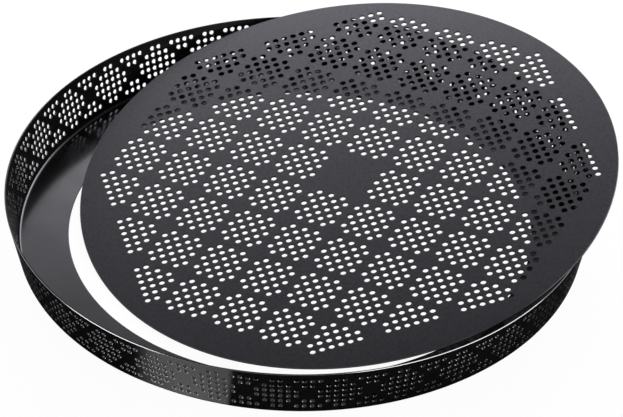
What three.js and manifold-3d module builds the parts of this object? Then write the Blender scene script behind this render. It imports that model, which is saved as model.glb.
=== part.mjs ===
// Loose-base quiche pan: a perforated flan ring with a flat ledge, and the perforated base that it
// carries. The base is taken out and leans on the ring: its low edge stands on the table inside the
// ledge, and its underside rests on the rim. Millimetres, +Z up, the table is z = 0.
import * as THREE from 'three';
import { mergeGeometries, mergeVertices } from 'three/addons/utils/BufferGeometryUtils.js';
import Module from 'manifold-3d';

// Driving dimensions of the ring
const ringTopDiameter = 280;
const ringHeight = 26.5;
const ringSheet = 0.8;
const wallFlare = THREE.MathUtils.degToRad(11.6);
const bendRadius = 2;
const bendSteps = 4;
const ledgeWidth = 22.5;

// Driving dimensions of the base
const baseSheet = 0.8;
const baseClearance = 3.5;
const baseSides = 96;

// Punching: diamond groups of round holes on a square grid. The rows of a group hold 2, 4, 6, 6, 4
// and 2 holes, and groups follow each other at a fixed number of grid steps.
const groupRows = 6;
const groupStep = 8;
const baseHolePitch = 4.505;
const baseHoleDiameter = 3.1;
const groupEdgeMargin = 12;
const punchedFieldMargin = 18;
const punchedFieldShift = new THREE.Vector2(0.4, 1.5);
const wallHolePitch = 3.57;
const wallHoleDiameter = 2.5;

// How the pieces stand: the ring's turn about its axis, and the lean of the base
const ringTurn = THREE.MathUtils.degToRad(1.9);
const leanDirection = THREE.MathUtils.degToRad(31);
const baseSpin = THREE.MathUtils.degToRad(-15.8);
const footInset = 8.9;
const restingGap = 0.3;

// Sizes that follow from the driving dimensions
const rimRadius = ringTopDiameter / 2;
const wallSlope = Math.tan(wallFlare);
const wallSheetAcross = ringSheet / Math.cos(wallFlare);
const midWallRadius = rimRadius - ringHeight / 2 * wallSlope;
const bendCentre = rimRadius - (ringHeight - bendRadius) * wallSlope - bendRadius / Math.cos(wallFlare);
const ledgeInnerRadius = bendCentre - ledgeWidth;
const baseRadius = bendCentre - baseClearance;

const wasm = await Module();
wasm.setup();

// Positions only, with shared vertices merged
function bare(geometry) {
  geometry.deleteAttribute('normal');
  geometry.deleteAttribute('uv');
  return mergeVertices(geometry);
}

function toSolid(geometry) {
  const vertProperties = new Float32Array(geometry.attributes.position.array);
  const triVerts = new Uint32Array(geometry.index.array);
  return new wasm.Manifold(new wasm.Mesh({ numProp: 3, vertProperties, triVerts }));
}

function toGeometry(solid) {
  const mesh = solid.getMesh();
  const geometry = new THREE.BufferGeometry();
  geometry.setAttribute('position', new THREE.BufferAttribute(mesh.vertProperties, 3));
  geometry.setIndex(new THREE.BufferAttribute(mesh.triVerts, 1));
  return geometry;
}

// Half width of a diamond's row of holes, from the diamond's middle to the last hole, in grid steps
function rowReach(height) {
  return groupRows / 2 - Math.abs(height);
}

// Half diamonds lie between the full ones, with their middles half a group step higher and lower
function halfDiamondReach(height) {
  return rowReach(groupStep / 2 - Math.abs(height));
}

// The rows of a group in pairs of neighbours, as heights in grid steps from the group's middle
function rowPairs() {
  const lowest = (1 - groupRows) / 2;
  return Array.from({ length: groupRows / 2 }, (_, pair) => {
    return { low: lowest + 2 * pair, high: lowest + 2 * pair + 1 };
  });
}

// The round holes of two rows are joined into one slot with about the same open area. Its corners lie
// at the ends of the two rows, so that the slots of a group draw its diamond.
function slotCorners(pair, reachOf, pitchAcross, pitchUp, holeDiameter) {
  const middle = (pair.low + pair.high) / 2 * pitchUp;
  const halfWidth = Math.PI * holeDiameter ** 2 / 4 / pitchAcross;
  const lowEnd = reachOf(pair.low) * pitchAcross + holeDiameter / 2;
  const highEnd = reachOf(pair.high) * pitchAcross + holeDiameter / 2;
  return [
    new THREE.Vector2(-lowEnd, middle - halfWidth),
    new THREE.Vector2(lowEnd, middle - halfWidth),
    new THREE.Vector2(highEnd, middle + halfWidth),
    new THREE.Vector2(-highEnd, middle + halfWidth),
  ];
}

// Ring section, closed on itself: ledge, bend and flared wall, one sheet thick, cut level at the rim
function ringSection() {
  const section = [];
  const addBend = (radius, share) => {
    const angle = -Math.PI / 2 + (Math.PI / 2 - wallFlare) * share;
    const fromAxis = bendCentre + radius * Math.cos(angle);
    section.push(new THREE.Vector2(fromAxis, bendRadius + radius * Math.sin(angle)));
  };
  section.push(new THREE.Vector2(ledgeInnerRadius, 0));
  for (let step = 0; step <= bendSteps; step += 1) {
    addBend(bendRadius, step / bendSteps);
  }
  section.push(new THREE.Vector2(rimRadius, ringHeight));
  section.push(new THREE.Vector2(rimRadius - wallSheetAcross, ringHeight));
  for (let step = bendSteps; step >= 0; step -= 1) {
    addBend(bendRadius - ringSheet, step / bendSteps);
  }
  section.push(new THREE.Vector2(ledgeInnerRadius, ringSheet));
  section.push(section[0].clone());
  return section;
}

// A cutter through the wall: the slot's outline stands on the slope at mid wall, at an angle round
// the ring, and is drawn out along the wall's normal
function wallCutter(corners, angle) {
  const depth = 2 * wallHolePitch;
  const cutter = new THREE.ExtrudeGeometry(new THREE.Shape(corners), { depth, bevelEnabled: false });
  const roundTheRing = new THREE.Vector3(0, 1, 0);
  const upTheSlope = new THREE.Vector3(Math.sin(wallFlare), 0, Math.cos(wallFlare));
  const outwards = new THREE.Vector3().crossVectors(roundTheRing, upTheSlope);
  cutter.translate(0, 0, -depth / 2);
  cutter.applyMatrix4(new THREE.Matrix4().makeBasis(roundTheRing, upTheSlope, outwards));
  cutter.translate(midWallRadius - wallSheetAcross / 2, 0, ringHeight / 2);
  cutter.rotateZ(angle);
  return bare(cutter);
}

// Full diamonds round the wall, and between them half diamonds that open to the rim and to the bend
function wallCutters(groupCount) {
  const groupAngle = 2 * Math.PI / groupCount;
  const columnPitch = midWallRadius * groupAngle / groupStep;
  const cutters = [];
  const addSlot = (angle, pair, reachOf) => {
    const corners = slotCorners(pair, reachOf, columnPitch, wallHolePitch, wallHoleDiameter);
    cutters.push(wallCutter(corners, angle));
  };
  for (let group = 0; group < groupCount; group += 1) {
    for (const pair of rowPairs()) {
      addSlot(group * groupAngle, pair, rowReach);
      if (halfDiamondReach(pair.low) > 0) {
        addSlot((group + 0.5) * groupAngle, pair, halfDiamondReach);
      }
    }
  }
  return mergeGeometries(cutters);
}

// The ring has one flat side for each full and each half diamond, with the diamond in its middle
function flanRing() {
  const groupCount = Math.floor(2 * Math.PI * midWallRadius / (groupStep * wallHolePitch));
  const sides = 2 * groupCount;
  const firstCorner = Math.PI / 2 + Math.PI / sides;
  const sheet = new THREE.LatheGeometry(ringSection(), sides, firstCorner);
  sheet.rotateX(Math.PI / 2);
  const punched = toSolid(bare(sheet)).subtract(toSolid(wallCutters(groupCount)));
  const coating = new THREE.MeshStandardMaterial({ color: 0x17171a, roughness: 0.3, metalness: 0.4 });
  const ring = new THREE.Mesh(toGeometry(punched), coating);
  ring.name = 'flan_ring';
  ring.rotation.z = ringTurn;
  return ring;
}

// Cutters for one group of the base, left out or cut short at the edge of the punched field
function baseGroupCutters(groupX, groupY) {
  const lastColumn = Math.floor((baseRadius - punchedFieldMargin) / baseHolePitch - 0.5) + 0.5;
  const fieldEnd = lastColumn * baseHolePitch + baseHoleDiameter / 2;
  const cutters = [];
  for (const pair of rowPairs()) {
    const corners = slotCorners(pair, rowReach, baseHolePitch, baseHolePitch, baseHoleDiameter);
    for (const corner of corners) {
      corner.x = THREE.MathUtils.clamp(corner.x, -fieldEnd - groupX, fieldEnd - groupX);
    }
    if (Math.abs(groupY + corners[0].y) < fieldEnd && Math.abs(groupY + corners[2].y) < fieldEnd) {
      const options = { depth: 3 * baseSheet, bevelEnabled: false };
      const cutter = new THREE.ExtrudeGeometry(new THREE.Shape(corners), options);
      cutter.translate(groupX + punchedFieldShift.x, groupY + punchedFieldShift.y, -baseSheet);
      cutters.push(bare(cutter));
    }
  }
  return cutters;
}

// Groups stand on every second point of a square lattice, like the dark squares of a chessboard, as
// far as their middles keep clear of the edge. The middle of the base is left plain. The whole field
// is punched a little off the middle of the disc.
function baseCutters() {
  const latticeStep = groupStep / 2 * baseHolePitch;
  const reachOfGroups = baseRadius - groupEdgeMargin;
  const lattice = Math.floor(reachOfGroups / latticeStep);
  const cutters = [];
  for (let across = -lattice; across <= lattice; across += 1) {
    for (let along = -lattice; along <= lattice; along += 1) {
      const isMiddle = across === 0 && along === 0;
      const isPlain = (across + along) % 2 !== 0;
      const isBeyondEdge = Math.hypot(across, along) * latticeStep > reachOfGroups;
      if (isMiddle || isPlain || isBeyondEdge) continue;
      cutters.push(...baseGroupCutters(across * latticeStep, along * latticeStep));
    }
  }
  return mergeGeometries(cutters);
}

// The base lies on its underside, with its middle at the origin
function looseBase() {
  const sheet = new THREE.CylinderGeometry(baseRadius, baseRadius, baseSheet, baseSides);
  sheet.rotateX(Math.PI / 2);
  sheet.translate(0, 0, baseSheet / 2);
  const punched = toSolid(bare(sheet)).subtract(toSolid(baseCutters()));
  const coating = new THREE.MeshStandardMaterial({ color: 0x3a3a40, roughness: 0.45, metalness: 0.4 });
  const base = new THREE.Mesh(toGeometry(punched), coating);
  base.name = 'loose_base';
  base.rotation.z = baseSpin;
  return base;
}

// The base stands on its foot, inside the ledge, and its underside edge crosses the rim's inner edge at
// two equal points. Seen from the foot, such a point lies a level distance away and one ring height up,
// and it is on both the rim's circle and the base's: that gives a quadratic for the level distance.
function leanTilt(footReach) {
  const innerRimRadius = rimRadius - wallSheetAcross;
  const powerOfRim = ringHeight ** 2 + innerRimRadius ** 2 - footReach ** 2;
  const squareTerm = 1 - (footReach / baseRadius) ** 2;
  const linearTerm = -powerOfRim * footReach / baseRadius ** 2;
  const constantTerm = ringHeight ** 2 - (powerOfRim / baseRadius / 2) ** 2;
  const root = Math.sqrt(linearTerm ** 2 - 4 * squareTerm * constantTerm);
  const levelDistance = (root - linearTerm) / 2 / squareTerm;
  return Math.atan2(ringHeight, levelDistance);
}

function leaningBase() {
  const footReach = ledgeInnerRadius - footInset;
  const tilt = leanTilt(footReach);
  const tilted = new THREE.Group();
  tilted.rotation.y = -tilt;
  tilted.position.x = baseRadius * Math.cos(tilt) - footReach;
  tilted.position.z = baseRadius * Math.sin(tilt) + restingGap;
  tilted.add(looseBase());
  const turned = new THREE.Group();
  turned.rotation.z = leanDirection;
  turned.add(tilted);
  return turned;
}

// The origin is the middle of the footprint on the table
function centreOnTable(group) {
  const middle = new THREE.Box3().setFromObject(group, true).getCenter(new THREE.Vector3());
  group.position.set(-middle.x, -middle.y, 0);
  return group;
}

const quichePan = new THREE.Group();
quichePan.add(flanRing(), leaningBase());
export default centreOnTable(quichePan);
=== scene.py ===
import math

import bpy
import numpy as np
from mathutils import Matrix, Vector
from mathutils.geometry import delaunay_2d_cdt


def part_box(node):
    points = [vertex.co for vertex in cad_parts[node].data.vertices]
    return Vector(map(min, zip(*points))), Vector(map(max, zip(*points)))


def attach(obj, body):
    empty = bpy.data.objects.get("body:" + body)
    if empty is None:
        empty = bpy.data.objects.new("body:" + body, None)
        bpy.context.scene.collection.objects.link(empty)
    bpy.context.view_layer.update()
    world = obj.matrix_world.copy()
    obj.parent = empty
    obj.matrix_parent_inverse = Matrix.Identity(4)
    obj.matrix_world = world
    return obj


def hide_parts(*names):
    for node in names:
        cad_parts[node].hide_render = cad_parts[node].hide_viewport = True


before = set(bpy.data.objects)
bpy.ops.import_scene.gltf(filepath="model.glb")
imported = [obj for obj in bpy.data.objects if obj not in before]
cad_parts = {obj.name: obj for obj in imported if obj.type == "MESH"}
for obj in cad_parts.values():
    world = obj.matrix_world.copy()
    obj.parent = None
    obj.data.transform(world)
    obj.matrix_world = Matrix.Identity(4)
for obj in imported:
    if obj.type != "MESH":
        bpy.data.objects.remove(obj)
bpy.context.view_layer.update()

# Loose-base quiche pan: two thin steel sheets with a dark non-stick coat, both punched with diamond
# groups of round holes. The frame says where they stand; here they get all their holes and their finish.
MM = 0.001

# Sheet metal, the same for both pieces
SHEET = 0.8 * MM
EDGE_ROUNDING = 0.22 * MM
HOLE_ROUNDING = 0.12 * MM

# Section of the ring: ledge, bend and flared wall
LEDGE_WIDTH = 22.5 * MM
BEND_RADIUS = 2 * MM
BEND_STEPS = 6
WALL_FLARE = math.radians(11.6)

# Punching: holes on a square grid, with every eighth diagonal left plain in both directions
HOLE_CORNERS = 14
GROUP_STEP = 8
WALL_GROUPS = 30
WALL_ROWS = 6
WALL_PITCH = 3.57 * MM
WALL_HOLE = 2.25 * MM
WALL_ROWS_LIFT = 0.35 * MM
BASE_PITCH = 4.505 * MM
BASE_HOLE = 2.8 * MM
BASE_FIELD = 24.5
BASE_FIELD_SHIFT = (0.4 * MM, 1.5 * MM)
BASE_GROUP_REACH = 6.5

# How the pieces are turned, and the corners of the base's outline: in the frame, and here
RING_TURN = math.radians(2)
BASE_SPIN = math.radians(-15.8)
BASE_SIDES = 96
BASE_OUTLINE_POINTS = 288

# Kinds of faces, and the bands of a cut edge: its upper rounding, the cut itself and its lower rounding
FLAT, TRIMMED_EDGE, BENT, PUNCHED = range(4)
EDGE_BANDS = 3
UPPER_ROUNDING = 0
LOWER_ROUNDING = 2

# Triangulation in the flat: all over the points' hull, with points as near as this taken as one, in mm
WHOLE_HULL = 0
POINT_TOLERANCE = 1e-6

# Finish: a coat runs between two colours, and its grain is given in features per metre
WHITE = (1, 1, 1)
DARK_TINT = (0.1, 0.1, 0.1)
STEEL = (0.3, 0.3, 0.305)
NOISE_LOW = 0.3
NOISE_HIGH = 0.7
RING_COAT = ((0.0248, 0.0248, 0.0248), (0.0278, 0.0278, 0.0278))
# Painted highlight: the bend's coat is lighter, standing for the bright line that the bend mirrors
RING_BEND_HIGHLIGHT_COAT = (0.036, 0.036, 0.036)
# Painted highlight: the coat in the wall's holes is lighter, standing for bright arcs on their edges
RING_HOLE_HIGHLIGHT_COAT = (0.1, 0.1, 0.1)
RING_METAL_SHARE = 0.85
RING_SPECULAR_LEVEL = 0.093
RING_ROUGHNESS = (0.13, 0.19)
RING_BUMP = 0.004 * MM
RING_CLOUDS = 60
RING_GLOSS_GRAIN = 900
RING_BUMP_GRAIN = 1400
BASE_COAT = ((0.01, 0.01, 0.0115), (0.015, 0.015, 0.017))
# Painted highlight: a lighter coat along the base's upper edge, standing for the edge's bright line
BASE_EDGE_HIGHLIGHT_COAT = (0.15, 0.15, 0.155)
# Painted shade: the coat in the base's holes is black, giving each hole a dark outline
BASE_HOLE_SHADE_COAT = (0.004, 0.004, 0.004)
BASE_SPECULAR_LEVEL = 0.047
BASE_ROUGHNESS = (0.25, 0.31)
BASE_BUMP = 0.008 * MM
BASE_SPECKLES = 2200
BASE_GLOSS_GRAIN = 700
BASE_BUMP_GRAIN = 2600

# Camera, and where it sees the middle of the ring's foot
PHOTO_WIDTH = 623
FOCAL_PIXELS = 3750
SENSOR = 36
VIEW_DEPTH = 20
CAMERA_ELEVATION = math.radians(37.603)
CAMERA_ROLL = math.radians(0.56)
FOOT_RIGHT = -5.458 * MM
FOOT_DOWN = 9.646 * MM
FOOT_AHEAD = 1792.14 * MM

# Floor and room
FLOOR_SIZE = 6
FLOOR_DROP = 0.2 * MM
FLOOR_COLOUR = (0.85, 0.85, 0.85)
FLOOR_ROUGHNESS = 0.9
# Painted shade: the floor's colour near the pan as reflections see it, and where it fades back to white
MIRRORED_SHADE_COLOUR = (0.1, 0.1, 0.1)
MIRRORED_SHADE_INNER_RADIUS = 0.17
MIRRORED_SHADE_OUTER_RADIUS = 0.5
SHADOW_SHARE = 0.04
HORIZON_LIGHT = 1
CEILING_LIGHT = 0.1
CEILING_STARTS = 0.45

# Panel behind the pan, and the brighter strip at its foot
PANEL_COLOUR = (0.96, 0.96, 1.05)
PANEL_PLACE = 0.42
PANEL_TURN = math.radians(-6.5)
PANEL_WIDTH = 1.4
PANEL_FOOT = 0.1
PANEL_TOP = 0.8
PANEL_LEVEL = 11
PANEL_FADES_FROM = 0.28
PANEL_FADE = 0.1
STRIP_AHEAD = 1 * MM
STRIP_TOP = 0.295
STRIP_LEVEL = 20
STRIP_FADES_FROM = 0.23

# Card on the floor, with its near corners next to the pan
CARD_RIGHT_NEAR = Vector((-0.034, -0.128, 0))
CARD_RIGHT_FAR = Vector((-0.047, -0.165, 0))
CARD_LEFT_FAR = Vector((-0.112, -0.131, 0))
CARD_LEFT_NEAR = Vector((-0.073, -0.107, 0))
CARD_LEVEL = 11.4
CARD_RIGHT_LEVEL = 0.33 * CARD_LEVEL
CARD_REACH = 0.052
CARD_LEFT_FADE = 0.013
CARD_RIGHT_FADE = 0.003

# Softboxes
LEFT_SOFTBOX = {
    "place": (-0.745, -0.35, 0.285),
    "target": (-0.1, -0.1, 0.03),
    "size": (0.525, 0.35),
    "power": 2.3,
}
RIGHT_SOFTBOX = {
    "place": (0.69, -0.5, 0.31),
    "target": (0.09, -0.1, 0.03),
    "size": (1.2, 0.35),
    "power": 5,
}


class FlatSheet:
    """A sheet in the flat: its points, the holes and bends that some of them lie on, and its cuts."""

    def __init__(self):
        self.points = []
        self.bent = set()
        self.holes = []
        self.ways_out = {}
        self.cut_edges = []

    def add(self, x, y, way_out=None, hole=None):
        """Adds a point. way_out is the direction in which the sheet ends there, if it is cut there."""
        number = len(self.points)
        self.points.append((x, y))
        self.holes.append(hole)
        if way_out is not None:
            self.ways_out[number] = way_out
        return number

    def cut(self, numbers, closed):
        """Cuts the sheet along points, with its metal on their left."""
        self.cut_edges += zip(numbers, numbers[1:])
        if closed:
            self.cut_edges.append((numbers[-1], numbers[0]))

    def punch(self, x, y, diameter):
        """Punches a round hole."""
        hole = (x, y)
        radius = diameter / 2 + HOLE_ROUNDING
        numbers = []
        for corner in range(HOLE_CORNERS):
            angle = -2 * math.pi * (corner + 0.5) / HOLE_CORNERS
            way = (math.cos(angle), math.sin(angle))
            way_in = (-way[0], -way[1])
            numbers.append(self.add(x + radius * way[0], y + radius * way[1], way_in, hole))
        self.cut(numbers, closed=True)

    def triangles(self):
        """Triangles between the points, with the holes left open."""
        points = [Vector(p) / MM for p in self.points]
        made = delaunay_2d_cdt(points, self.cut_edges, [], WHOLE_HULL, POINT_TOLERANCE)
        _, _, faces, origins, _, _ = made
        given = [numbers[0] for numbers in origins]
        corners = np.array([[given[v] for v in face] for face in faces])
        in_hole = [
            self.holes[a] is not None and self.holes[a] == self.holes[b] == self.holes[c]
            for a, b, c in corners
        ]
        return corners[~np.array(in_hole)]


class SheetNumbers:
    """How the points of one repeat of a sheet are numbered: first those of its upper side, then the
    upper and the lower ends of its cut edges, and last those of its lower side."""

    def __init__(self, flat):
        self.cut = np.array(sorted(flat.ways_out))
        self.upper_count = len(flat.points)
        steps = np.arange(len(self.cut))
        self.upper_end = dict(zip(self.cut, self.upper_count + steps))
        self.lower_end = dict(zip(self.cut, self.upper_count + len(steps) + steps))
        self.lower_side = self.upper_count + 2 * len(steps)
        self.total = self.lower_side + self.upper_count

    def down_the_edge(self, number):
        """The points that a cut edge has there, from the upper side to the lower."""
        return number, self.upper_end[number], self.lower_end[number], number + self.lower_side


def sheet_faces(flat, numbers, wear_and_highlight_band):
    """Faces of one repeat of a sheet, and their kinds."""
    upper = flat.triangles()
    lower = upper[:, ::-1] + numbers.lower_side
    faces = upper.tolist() + lower.tolist()
    kinds = [BENT if flat.bent.issuperset(face) else FLAT for face in upper.tolist()]
    kinds += [FLAT] * len(lower)
    for edge in flat.cut_edges:
        first, second = [numbers.down_the_edge(number) for number in edge]
        in_hole = flat.holes[edge[0]] is not None
        for band in range(EDGE_BANDS):
            faces.append((second[band], first[band], first[band + 1], second[band + 1]))
            trimmed = TRIMMED_EDGE if band == wear_and_highlight_band else FLAT
            kinds.append(PUNCHED if in_hole else trimmed)
    return faces, kinds


def sheet_points(flat, numbers, copies):
    """Places of the points of all repeats, and two directions at each: of the side that it lies on, and
    of the way out where the sheet is cut."""
    cut = numbers.cut
    ways = np.array([flat.ways_out[number] for number in cut])
    on_hole = [flat.holes[number] is not None for number in cut]
    rounding = np.where(on_hole, HOLE_ROUNDING, EDGE_ROUNDING)[:, None]
    places = []
    sides = []
    outs = []
    for middle, across, along, up in copies:
        out = np.zeros_like(up)
        out[cut] = ways[:, :1] * across[cut] + ways[:, 1:] * along[cut]
        tip = middle[cut] + rounding * out[cut]
        rise = (SHEET / 2 - rounding) * up[cut]
        places += [middle + SHEET / 2 * up, tip + rise, tip - rise, middle - SHEET / 2 * up]
        sides += [up, up[cut], -up[cut], -up]
        outs += [out, out[cut], out[cut], out]
    return [np.concatenate(parts) for parts in (places, sides, outs)]


def seam_twins(numbers, seams):
    """For each point of a repeat, the number of the point that stands for it, and how many repeats
    further on that one lies."""
    twin = np.arange(numbers.total)
    onwards = np.zeros(numbers.total, int)
    for last, first in seams.items():
        pairs = [(last, first), (last + numbers.lower_side, first + numbers.lower_side)]
        if last in numbers.upper_end:
            pairs += [(ends[last], ends[first]) for ends in (numbers.upper_end, numbers.lower_end)]
        for old, new in pairs:
            twin[old] = new
            onwards[old] = 1
    return twin, onwards


def sheet_object(name, flat, copies, wear_and_highlight_band, seams=None):
    """A closed, rounded sheet. copies lists, for each repeat of the flat sheet, where its points lie in
    the middle of the sheet, and the directions there of the flat's x, of its y and of its upper side.
    The band that it is given for its outer edges has a colour of its own: on the ring the coat wears
    through to steel there, and on the base it is a lighter painted highlight. seams gives, for points on
    the last side of a repeat, their twins on the first side of the next."""
    numbers = SheetNumbers(flat)
    faces, kinds = sheet_faces(flat, numbers, wear_and_highlight_band)
    places, sides, outs = sheet_points(flat, numbers, copies)
    twin, onwards = seam_twins(numbers, seams or {})
    on_tip = np.zeros((len(copies), numbers.total), bool)
    on_tip[:, numbers.upper_count:numbers.lower_side] = True
    smooth = np.where(on_tip.reshape(-1, 1), outs, sides)
    slanted = (sides + outs) / math.sqrt(2)

    all_faces = []
    corner_kinds = []
    corner_normals = []
    for copy in range(len(copies)):
        for face, kind in zip(faces, kinds):
            corners = [((copy + onwards[v]) % len(copies)) * numbers.total + twin[v] for v in face]
            all_faces.append(corners)
            corner_kinds += [kind] * len(corners)
            corner_normals += list((slanted if kind == TRIMMED_EDGE else smooth)[corners])
    used = np.unique(np.concatenate([np.array(face) for face in all_faces]))
    renumbered = np.empty(len(places), int)
    renumbered[used] = np.arange(len(used))
    all_faces = [renumbered[face].tolist() for face in all_faces]

    mesh = bpy.data.meshes.new(name)
    mesh.from_pydata(places[used].tolist(), [], all_faces)
    for kind, attribute_name in [(TRIMMED_EDGE, "trimmed_edge"), (BENT, "bent"), (PUNCHED, "punched")]:
        attribute = mesh.attributes.new(attribute_name, "FLOAT", "CORNER")
        attribute.data.foreach_set("value", [float(corner == kind) for corner in corner_kinds])
    mesh.shade_smooth()
    mesh.normals_split_custom_set(corner_normals)
    piece = bpy.data.objects.new(name, mesh)
    bpy.context.scene.collection.objects.link(piece)
    return piece


def is_punched(column, row):
    """True for a grid place that no plain diagonal crosses."""
    plain = GROUP_STEP / 2
    return (column + row) % GROUP_STEP != plain and (column - row) % GROUP_STEP != plain


def half_steps(reach):
    """Grid places from -reach to reach, half a step off the middle."""
    return np.arange(-reach, reach + 0.5)


def middle_of(node):
    """Middle of a node's box."""
    low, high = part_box(node)
    return (low + high) / 2


def ring_section(lengths, rim_radius, height):
    """Middle of the ring's sheet at lengths along its section, from the ledge's inner edge to the rim:
    distances from the axis, heights, and the slope angle of the section there."""
    bend_centre = rim_radius - (height - BEND_RADIUS) * math.tan(WALL_FLARE)
    bend_centre -= BEND_RADIUS / math.cos(WALL_FLARE)
    bend = BEND_RADIUS - SHEET / 2
    slope = np.clip((lengths - LEDGE_WIDTH) / bend, 0, math.pi / 2 - WALL_FLARE)
    up_the_wall = np.maximum(lengths - LEDGE_WIDTH - bend * (math.pi / 2 - WALL_FLARE), 0)
    from_axis = bend_centre + np.minimum(lengths - LEDGE_WIDTH, 0)
    from_axis = from_axis + bend * np.sin(slope) + up_the_wall * math.sin(WALL_FLARE)
    heights = BEND_RADIUS - bend * np.cos(slope) + up_the_wall * math.cos(WALL_FLARE)
    return from_axis, heights, slope


def flan_ring():
    """The ring, made of equal sectors that each hold one full diamond and parts of its neighbours."""
    low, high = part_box("flan_ring")
    axis = middle_of("flan_ring")
    rim_radius = min(high.x - low.x, high.y - low.y) / 2
    height = high.z
    bend = BEND_RADIUS - SHEET / 2
    bend_length = bend * (math.pi / 2 - WALL_FLARE)
    wall_foot = BEND_RADIUS - bend * math.sin(WALL_FLARE)
    length = LEDGE_WIDTH + bend_length + (height - wall_foot) / math.cos(WALL_FLARE)
    mid_wall = LEDGE_WIDTH + bend_length + (height / 2 - wall_foot) / math.cos(WALL_FLARE)
    mid_wall += WALL_ROWS_LIFT
    sector = 2 * math.pi / WALL_GROUPS
    mid_radius = ring_section(np.array([mid_wall]), rim_radius, height)[0][0]
    column = mid_radius * sector / GROUP_STEP
    reach = GROUP_STEP // 2

    bend_lines = list(np.linspace(LEDGE_WIDTH, LEDGE_WIDTH + bend_length, BEND_STEPS + 1))
    wall_lines = [mid_wall + row * WALL_PITCH for row in range(-WALL_ROWS // 2, WALL_ROWS // 2 + 1)]
    flat = FlatSheet()
    seams = {}
    chains = []
    for line, way_out in [(EDGE_ROUNDING, (0, -1)), (length - EDGE_ROUNDING, (0, 1))]:
        chains.append([flat.add(c * column, line, way_out) for c in range(-reach, reach + 1)])
    flat.cut(chains[0], closed=False)
    flat.cut(chains[1][::-1], closed=False)
    for line in bend_lines + wall_lines:
        chains.append([flat.add(c * column, line) for c in range(-reach, reach + 1)])
        if line in bend_lines:
            flat.bent.update(chains[-1])
    for chain in chains:
        seams[chain[-1]] = chain[0]
    for across in half_steps(reach - 0.5):
        for row in half_steps((WALL_ROWS - 1) / 2):
            if is_punched(across, row):
                flat.punch(across * column, mid_wall + row * WALL_PITCH, WALL_HOLE)

    x, y = np.array(flat.points).T
    from_axis, heights, slope = ring_section(y, rim_radius, height)
    copies = []
    for copy in range(WALL_GROUPS):
        turn = RING_TURN - copy * sector - x / mid_radius
        cos, sin = np.cos(turn), np.sin(turn)
        middle = np.stack([axis.x + from_axis * cos, axis.y + from_axis * sin, heights], 1)
        across = np.stack([sin, -cos, 0 * x], 1)
        along = np.stack([np.cos(slope) * cos, np.cos(slope) * sin, np.sin(slope)], 1)
        up = np.stack([-np.sin(slope) * cos, -np.sin(slope) * sin, np.cos(slope)], 1)
        copies.append((middle, across, along, up))
    return sheet_object("punched_ring", flat, copies, LOWER_ROUNDING, seams)


def base_axes():
    """Middle of the leaning base, the directions of its grid and of its upper side, and its radius."""
    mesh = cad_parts["loose_base"].data
    points = np.array([v.co for v in mesh.vertices])
    middle = np.array(middle_of("loose_base"))
    _, _, widest_to_thinnest = np.linalg.svd(points - middle, full_matrices=False)
    up = widest_to_thinnest[-1]
    up = up * np.sign(up[2])
    uphill = np.array([-up[0], -up[1], 0])
    uphill = uphill - uphill @ up * up
    uphill = uphill / np.linalg.norm(uphill)
    across = math.cos(BASE_SPIN) * uphill + math.sin(BASE_SPIN) * np.cross(up, uphill)
    reach = np.linalg.norm(points - middle, axis=1).max()
    return middle, across, np.cross(up, across), up, reach * math.cos(math.pi / BASE_SIDES)


def loose_base():
    """The base: a flat disc whose diamonds end in straight rows at the edge of the punched field."""
    middle, across, along, up, radius = base_axes()
    radius -= EDGE_ROUNDING
    flat = FlatSheet()
    outline = []
    for step in range(BASE_OUTLINE_POINTS):
        angle = 2 * math.pi * step / BASE_OUTLINE_POINTS
        way = (math.cos(angle), math.sin(angle))
        outline.append(flat.add(radius * way[0], radius * way[1], way))
    flat.cut(outline, closed=True)
    for column in half_steps(BASE_FIELD):
        for row in half_steps(BASE_FIELD):
            rising = round((column + row) / GROUP_STEP)
            falling = round((column - row) / GROUP_STEP)
            group_reach = math.hypot(rising + falling, rising - falling)
            if is_punched(column, row) and 0 < group_reach < BASE_GROUP_REACH:
                hole_x = column * BASE_PITCH + BASE_FIELD_SHIFT[0]
                hole_y = row * BASE_PITCH + BASE_FIELD_SHIFT[1]
                flat.punch(hole_x, hole_y, BASE_HOLE)
    x, y = np.array(flat.points).T[:, :, None]
    ones = np.ones_like(x)
    copy = (middle + x * across + y * along, ones * across, ones * along, ones * up)
    return sheet_object("punched_base", flat, [copy], UPPER_ROUNDING)


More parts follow.
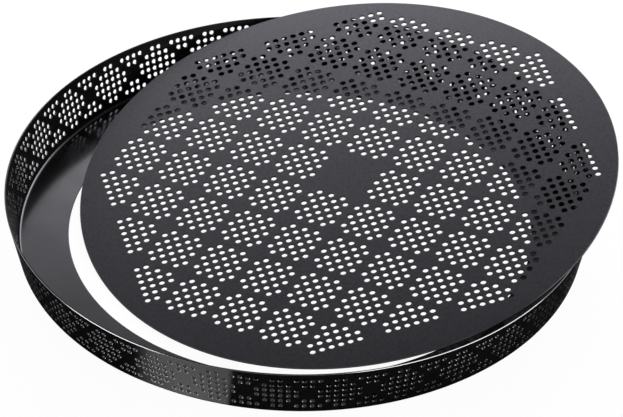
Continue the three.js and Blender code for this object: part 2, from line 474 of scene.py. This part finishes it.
class NodeTree:
    """The nodes of a material or of the world, with short ways to add those that are used here."""

    def __init__(self, owner):
        owner.use_nodes = True
        self.nodes = owner.node_tree.nodes
        self.links = owner.node_tree.links

    def feed(self, socket, value):
        """Sets a socket to a plain number or colour, or links it to another node's output."""
        if isinstance(value, bpy.types.NodeSocket):
            self.links.new(value, socket)
        elif isinstance(value, tuple):
            socket.default_value = (*value, 1)
        else:
            socket.default_value = value

    def place(self):
        """Where a point lies on its own object."""
        return self.nodes.new("ShaderNodeTexCoord").outputs["Object"]

    def height_of(self, vector):
        """The Z part of a vector."""
        parts = self.nodes.new("ShaderNodeSeparateXYZ")
        self.feed(parts.inputs["Vector"], vector)
        return parts.outputs["Z"]

    def worked_out(self, operation, first, second=0):
        """The result of a Math node."""
        node = self.nodes.new("ShaderNodeMath")
        node.operation = operation
        self.feed(node.inputs[0], first)
        self.feed(node.inputs[1], second)
        return node.outputs["Value"]

    def ramp(self, value, start, end, first, last, interpolation="LINEAR"):
        """Goes from first to last while the value goes from start to end."""
        node = self.nodes.new("ShaderNodeMapRange")
        node.interpolation_type = interpolation
        self.feed(node.inputs["From Min"], start)
        self.feed(node.inputs["From Max"], end)
        self.feed(node.inputs["To Min"], first)
        self.feed(node.inputs["To Max"], last)
        self.feed(node.inputs["Value"], value)
        return node.outputs["Result"]

    def grain(self, scale, detail):
        """Noise that rides with the piece, with scale in features per metre."""
        noise = self.nodes.new("ShaderNodeTexNoise")
        self.feed(noise.inputs["Scale"], scale)
        self.feed(noise.inputs["Detail"], detail)
        self.feed(noise.inputs["Vector"], self.place())
        return noise.outputs["Fac"]

    def spread(self, noise, low, high):
        """The noise, stretched from low to high."""
        return self.ramp(noise, NOISE_LOW, NOISE_HIGH, low, high)

    def bump(self, height, distance):
        """A normal that follows the height."""
        node = self.nodes.new("ShaderNodeBump")
        self.feed(node.inputs["Distance"], distance)
        self.feed(node.inputs["Height"], height)
        return node.outputs["Normal"]

    def mixed_colour(self, share, first, second):
        """From the first to the second colour; each is a plain colour or another node's output."""
        mix = self.nodes.new("ShaderNodeMix")
        mix.data_type = "RGBA"
        colours = [socket for socket in mix.inputs if socket.type == "RGBA"]
        self.feed(colours[0], first)
        self.feed(colours[1], second)
        self.feed(mix.inputs["Factor"], share)
        return next(socket for socket in mix.outputs if socket.type == "RGBA")

    def mask(self, kind):
        """1 on faces of a kind, and else 0."""
        attribute = self.nodes.new("ShaderNodeAttribute")
        attribute.attribute_name = kind
        return attribute.outputs["Fac"]


def new_material(name):
    """A material, its nodes and its shader."""
    material = bpy.data.materials.new(name)
    tree = NodeTree(material)
    return material, tree, tree.nodes["Principled BSDF"]


def ring_coat():
    """Black non-stick coat, smooth and fairly glossy. Its coat wears through to steel along the outside
    of the rim, and it is coloured lighter on the bend and in the holes as a painted highlight. Mostly a
    dark metal with a dark edge tint, it stays black where it is seen at a grazing angle."""
    material, tree, shader = new_material("ring_coat")
    clouds = tree.spread(tree.grain(RING_CLOUDS, detail=3), 0, 1)
    coat = tree.mixed_colour(clouds, *RING_COAT)
    # Painted highlight: a lighter coat on the bend
    coat = tree.mixed_colour(tree.mask("bent"), coat, RING_BEND_HIGHLIGHT_COAT)
    # Painted highlight: a lighter coat in the holes
    coat = tree.mixed_colour(tree.mask("punched"), coat, RING_HOLE_HIGHLIGHT_COAT)
    edge_wear_and_highlight = tree.mask("trimmed_edge")
    gloss_grain = tree.grain(RING_GLOSS_GRAIN, detail=4)
    bump_grain = tree.grain(RING_BUMP_GRAIN, detail=3)
    tree.feed(shader.inputs["Base Color"], tree.mixed_colour(edge_wear_and_highlight, coat, STEEL))
    tree.feed(shader.inputs["Specular Tint"], tree.mixed_colour(edge_wear_and_highlight, DARK_TINT, WHITE))
    tree.feed(shader.inputs["Roughness"], tree.spread(gloss_grain, *RING_ROUGHNESS))
    tree.feed(shader.inputs["Normal"], tree.bump(bump_grain, RING_BUMP))
    shader.inputs["Metallic"].default_value = RING_METAL_SHARE
    shader.inputs["Specular IOR Level"].default_value = RING_SPECULAR_LEVEL
    return material


def base_coat():
    """Charcoal non-stick coat, satin, with a fine grain, black where it runs into the holes as painted
    shade, and lighter along the upper edge as a painted highlight."""
    material, tree, shader = new_material("base_coat")
    speckles = tree.spread(tree.grain(BASE_SPECKLES, detail=3), 0, 1)
    in_hole = tree.mask("punched")
    edge_wear_and_highlight = tree.mask("trimmed_edge")
    coat = tree.mixed_colour(speckles, *BASE_COAT)
    # Painted shade: the coat turns black where it runs into the holes
    coat = tree.mixed_colour(in_hole, coat, BASE_HOLE_SHADE_COAT)
    gloss_grain = tree.grain(BASE_GLOSS_GRAIN, detail=4)
    bump_grain = tree.grain(BASE_BUMP_GRAIN, detail=4)
    # Painted highlight along the upper edge; on the ring the same mask is real wear to steel
    tree.feed(shader.inputs["Base Color"], tree.mixed_colour(edge_wear_and_highlight, coat, BASE_EDGE_HIGHLIGHT_COAT))
    # The painted shade in the holes is also a dark metal with a dark edge tint
    tree.feed(shader.inputs["Specular Tint"], tree.mixed_colour(in_hole, WHITE, DARK_TINT))
    tree.feed(shader.inputs["Metallic"], in_hole)
    tree.feed(shader.inputs["Roughness"], tree.spread(gloss_grain, *BASE_ROUGHNESS))
    tree.feed(shader.inputs["Normal"], tree.bump(bump_grain, BASE_BUMP))
    shader.inputs["Specular IOR Level"].default_value = BASE_SPECULAR_LEVEL
    return material


def dress(piece, node, body, material):
    """Puts a piece with its material in the place of a node."""
    piece.data.materials.append(material)
    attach(piece, body)
    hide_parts(node)


def add_camera():
    """The photograph's camera, placed by where it sees the middle of the ring's foot."""
    camera = bpy.data.objects.new("camera", bpy.data.cameras.new("camera"))
    bpy.context.scene.collection.objects.link(camera)
    camera.data.sensor_width = SENSOR
    camera.data.lens = FOCAL_PIXELS * SENSOR / PHOTO_WIDTH
    camera.data.clip_end = VIEW_DEPTH
    turn = Matrix.Rotation(math.pi / 2 - CAMERA_ELEVATION, 4, "X") @ Matrix.Rotation(CAMERA_ROLL, 4, "Z")
    foot = middle_of("flan_ring")
    foot.z = 0
    seen = turn @ Vector((FOOT_RIGHT, -FOOT_DOWN, -FOOT_AHEAD))
    camera.matrix_world = Matrix.Translation(foot - seen) @ turn
    bpy.context.scene.camera = camera


def stage_sheet(name, corners, material):
    """A flat sheet of the studio, with four corners."""
    mesh = bpy.data.meshes.new(name)
    mesh.from_pydata(corners, [], [(0, 1, 2, 3)])
    mesh.materials.append(material)
    sheet = bpy.data.objects.new(name, mesh)
    bpy.context.scene.collection.objects.link(sheet)
    return sheet


def floor_surface():
    """White for the camera, with a faint shadow. In reflections it is white too, but dark near the pan,
    where its colour is a painted shade that only reflections see."""
    material, tree, shader = new_material("floor")
    path = tree.nodes.new("ShaderNodeLightPath").outputs
    distance = tree.nodes.new("ShaderNodeVectorMath")
    distance.operation = "LENGTH"
    tree.feed(distance.inputs[0], tree.place())
    # Painted shade near the pan, seen only in reflections
    beyond_mirrored_shade = tree.ramp(distance.outputs["Value"], MIRRORED_SHADE_INNER_RADIUS, MIRRORED_SHADE_OUTER_RADIUS, 0, 1)
    colour = tree.mixed_colour(path["Is Glossy Ray"], FLOOR_COLOUR, MIRRORED_SHADE_COLOUR)
    tree.feed(shader.inputs["Base Color"], colour)
    shader.inputs["Roughness"].default_value = FLOOR_ROUGHNESS
    shader.inputs["Specular IOR Level"].default_value = 0
    white = tree.worked_out("MULTIPLY", path["Is Glossy Ray"], beyond_mirrored_shade)
    white = tree.worked_out("MAXIMUM", white, path["Is Camera Ray"])
    white = tree.worked_out("MAXIMUM", white, path["Is Transmission Ray"])
    mix = tree.nodes.new("ShaderNodeMixShader")
    tree.feed(mix.inputs["Fac"], tree.worked_out("MULTIPLY", white, 1 - SHADOW_SHARE))
    tree.feed(mix.inputs[1], shader.outputs["BSDF"])
    tree.feed(mix.inputs[2], tree.nodes.new("ShaderNodeEmission").outputs["Emission"])
    tree.feed(tree.nodes["Material Output"].inputs["Surface"], mix.outputs["Shader"])
    return material


def add_floor():
    """A large square floor, just under the pan."""
    half = FLOOR_SIZE / 2
    corners = [(-half, -half, 0), (half, -half, 0), (half, half, 0), (-half, half, 0)]
    floor = stage_sheet("floor", corners, floor_surface())
    floor.location.z = -FLOOR_DROP


def add_world():
    """White for the camera; else white at the horizon, under a dim ceiling."""
    world = bpy.data.worlds.new("studio")
    tree = NodeTree(world)
    direction = tree.nodes.new("ShaderNodeTexCoord").outputs["Generated"]
    room = tree.ramp(tree.height_of(direction), 0, CEILING_STARTS, HORIZON_LIGHT, CEILING_LIGHT)
    path = tree.nodes.new("ShaderNodeLightPath").outputs
    seen = tree.worked_out("MAXIMUM", path["Is Camera Ray"], path["Is Transmission Ray"])
    background = tree.nodes["Background"]
    tree.feed(background.inputs["Color"], WHITE)
    tree.feed(background.inputs["Strength"], tree.worked_out("MAXIMUM", room, seen))
    bpy.context.scene.world = world


def glowing_sheet(name, corners, colour, level):
    """A flat light that the camera doesn't see. level is a function that adds its level to its nodes."""
    material, tree, _ = new_material(name)
    glow = tree.nodes.new("ShaderNodeEmission")
    tree.feed(glow.inputs["Color"], colour)
    tree.feed(glow.inputs["Strength"], level(tree))
    tree.feed(tree.nodes["Material Output"].inputs["Surface"], glow.outputs["Emission"])
    sheet = stage_sheet(name, corners, material)
    sheet.visible_camera = False
    sheet.visible_shadow = False
    return sheet


def only_mirrored(sheet):
    """Keeps a light to reflections alone."""
    sheet.visible_diffuse = False
    sheet.visible_transmission = False


def upright_light(name, place, top, level):
    """A light behind the pan, as wide as the panel and from its foot to a top."""
    half = PANEL_WIDTH / 2
    corners = [(-half, 0, PANEL_FOOT), (half, 0, PANEL_FOOT), (half, 0, top), (-half, 0, top)]
    sheet = glowing_sheet(name, corners, PANEL_COLOUR, level)
    sheet.location.y = place
    sheet.rotation_euler.z = PANEL_TURN
    return sheet


def add_rear_panel():
    """A lit sheet behind the pan, even at its foot and fading upwards."""
    def level(tree):
        height = tree.height_of(tree.place())
        fall = (PANEL_FADES_FROM - PANEL_TOP) / PANEL_FADE
        share = tree.worked_out("EXPONENT", tree.ramp(height, PANEL_FADES_FROM, PANEL_TOP, 0, fall))
        return tree.worked_out("MULTIPLY", share, PANEL_LEVEL)

    upright_light("rear_panel", PANEL_PLACE, PANEL_TOP, level)


def add_foot_strip():
    """A brighter foot of the panel, which only shows in reflections: on the ledge, the bend and the
    holes of the wall. Upwards it fades to the panel's level."""
    def level(tree):
        height = tree.height_of(tree.place())
        return tree.ramp(height, STRIP_FADES_FROM, STRIP_TOP, STRIP_LEVEL, PANEL_LEVEL)

    only_mirrored(upright_light("foot_strip", PANEL_PLACE - STRIP_AHEAD, STRIP_TOP, level))


def beside_line(tree, start, end, width, first, last):
    """Goes smoothly from first, on the line from start to end, to last at a width to the right of it."""
    rightwards = Vector((end.y - start.y, start.x - end.x, 0)).normalized()
    distance = tree.nodes.new("ShaderNodeVectorMath")
    distance.operation = "DOT_PRODUCT"
    distance.inputs[1].default_value = rightwards
    tree.feed(distance.inputs[0], tree.place())
    line = rightwards.dot(start)
    return tree.ramp(distance.outputs["Value"], line, line + width, first, last, "SMOOTHSTEP")


def add_floor_card():
    """A bright card on the floor at the front left, which only shows as a patch on the glossy wall. It
    is soft on its sides, and dims from left to right."""
    right_edge = [CARD_RIGHT_NEAR, CARD_RIGHT_FAR]
    left_edge = [CARD_LEFT_FAR, CARD_LEFT_NEAR]

    def level(tree):
        left = beside_line(tree, *left_edge, CARD_LEFT_FADE, 0, 1)
        right = beside_line(tree, *right_edge, CARD_RIGHT_FADE, 0, 1)
        dimmer = beside_line(tree, *left_edge, CARD_REACH, CARD_LEVEL, CARD_RIGHT_LEVEL)
        return tree.worked_out("MULTIPLY", tree.worked_out("MULTIPLY", left, right), dimmer)

    card = glowing_sheet("floor_card", right_edge + left_edge, WHITE, level)
    card.location.z = -FLOOR_DROP / 2
    only_mirrored(card)


def add_softbox(name, place, target, size, power):
    """A soft lamp that points at a target."""
    light = bpy.data.lights.new(name, "AREA")
    light.shape = "RECTANGLE"
    light.size, light.size_y = size
    light.energy = power
    lamp = bpy.data.objects.new(name, light)
    lamp.location = place
    lamp.rotation_euler = (Vector(target) - Vector(place)).to_track_quat("-Z", "Y").to_euler()
    lamp.visible_camera = False
    bpy.context.scene.collection.objects.link(lamp)


def add_lights():
    """The graded panel with its strip behind the pan, a softbox on each side, and the card."""
    add_rear_panel()
    add_softbox("left_softbox", **LEFT_SOFTBOX)
    add_softbox("right_softbox", **RIGHT_SOFTBOX)
    add_foot_strip()
    add_floor_card()


dress(flan_ring(), "flan_ring", "ring", ring_coat())
dress(loose_base(), "loose_base", "base", base_coat())
add_camera()
add_floor()
add_world()
add_lights()
bpy.context.scene.view_settings.view_transform = "Standard"
